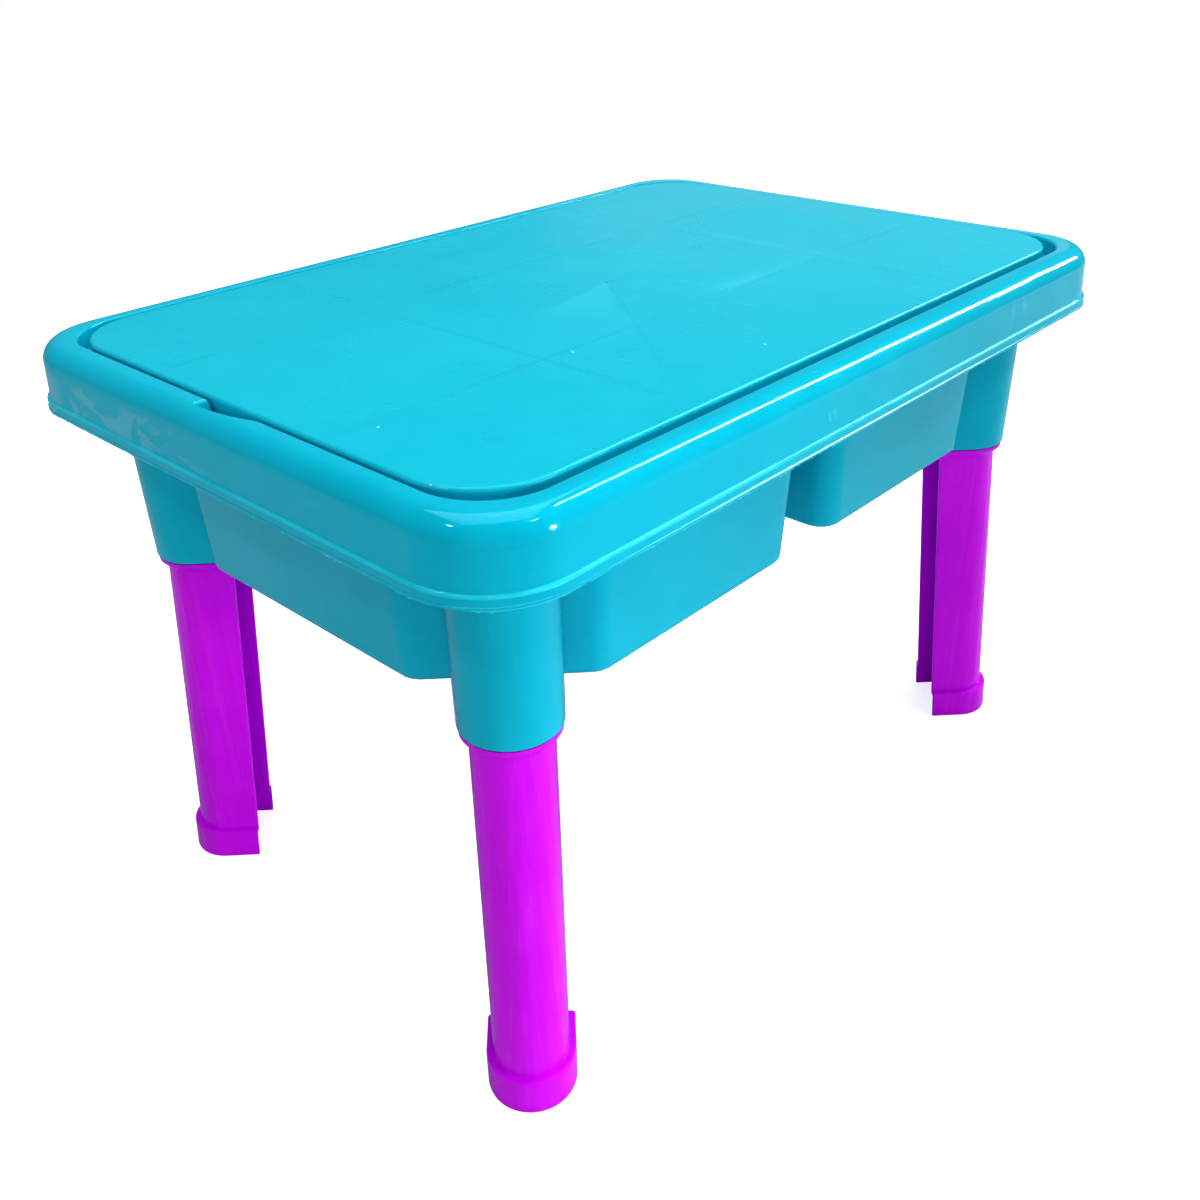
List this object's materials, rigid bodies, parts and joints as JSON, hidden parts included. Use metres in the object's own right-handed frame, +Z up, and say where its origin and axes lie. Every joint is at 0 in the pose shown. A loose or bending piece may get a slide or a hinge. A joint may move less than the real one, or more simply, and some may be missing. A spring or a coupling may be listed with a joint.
{
  "type": "sand and water table",
  "caption": "Low children's play table: a moulded tray with twin basins under a lift-off lid, on plug-in channel legs that splay outwards.",
  "frame": {"origin": "on the floor, under the middle of the tray", "axes": "+X along the long side, away from the finger notch; +Y along the short side; +Z up"},
  "size_m": [0.7, 0.485, 0.4532],
  "materials": {
    "tray_plastic": "smooth moulded, satin gloss",
    "lid_plastic": "smooth moulded, satin gloss with faint flow marks",
    "leg_plastic": "smooth moulded gloss"
  },
  "bodies": {
    "tray_body": {"tray": "tray_plastic"},
    "lid_body": {"lid": "lid_plastic"},
    "leg_front_left_body": {"leg_front_left": "leg_plastic"},
    "leg_front_right_body": {"leg_front_right": "leg_plastic"},
    "leg_back_right_body": {"leg_back_right": "leg_plastic"},
    "leg_back_left_body": {"leg_back_left": "leg_plastic"}
  },
  "joints": [
    {"name": "lid_lift", "type": "slide", "parent": "tray_body", "child": "lid_body", "axis": [0, 0, 1], "range_m": [0, 0.06]},
    {"name": "leg_pull_front_left", "type": "slide", "parent": "tray_body", "child": "leg_front_left_body", "axis": [0, 0, -1], "range_m": [0, 0.09]},
    {"name": "leg_pull_front_right", "type": "slide", "parent": "tray_body", "child": "leg_front_right_body", "axis": [0, 0, -1], "range_m": [0, 0.09]},
    {"name": "leg_pull_back_right", "type": "slide", "parent": "tray_body", "child": "leg_back_right_body", "axis": [0, 0, -1], "range_m": [0, 0.09]},
    {"name": "leg_pull_back_left", "type": "slide", "parent": "tray_body", "child": "leg_back_left_body", "axis": [0, 0, -1], "range_m": [0, 0.09]}
  ]
}
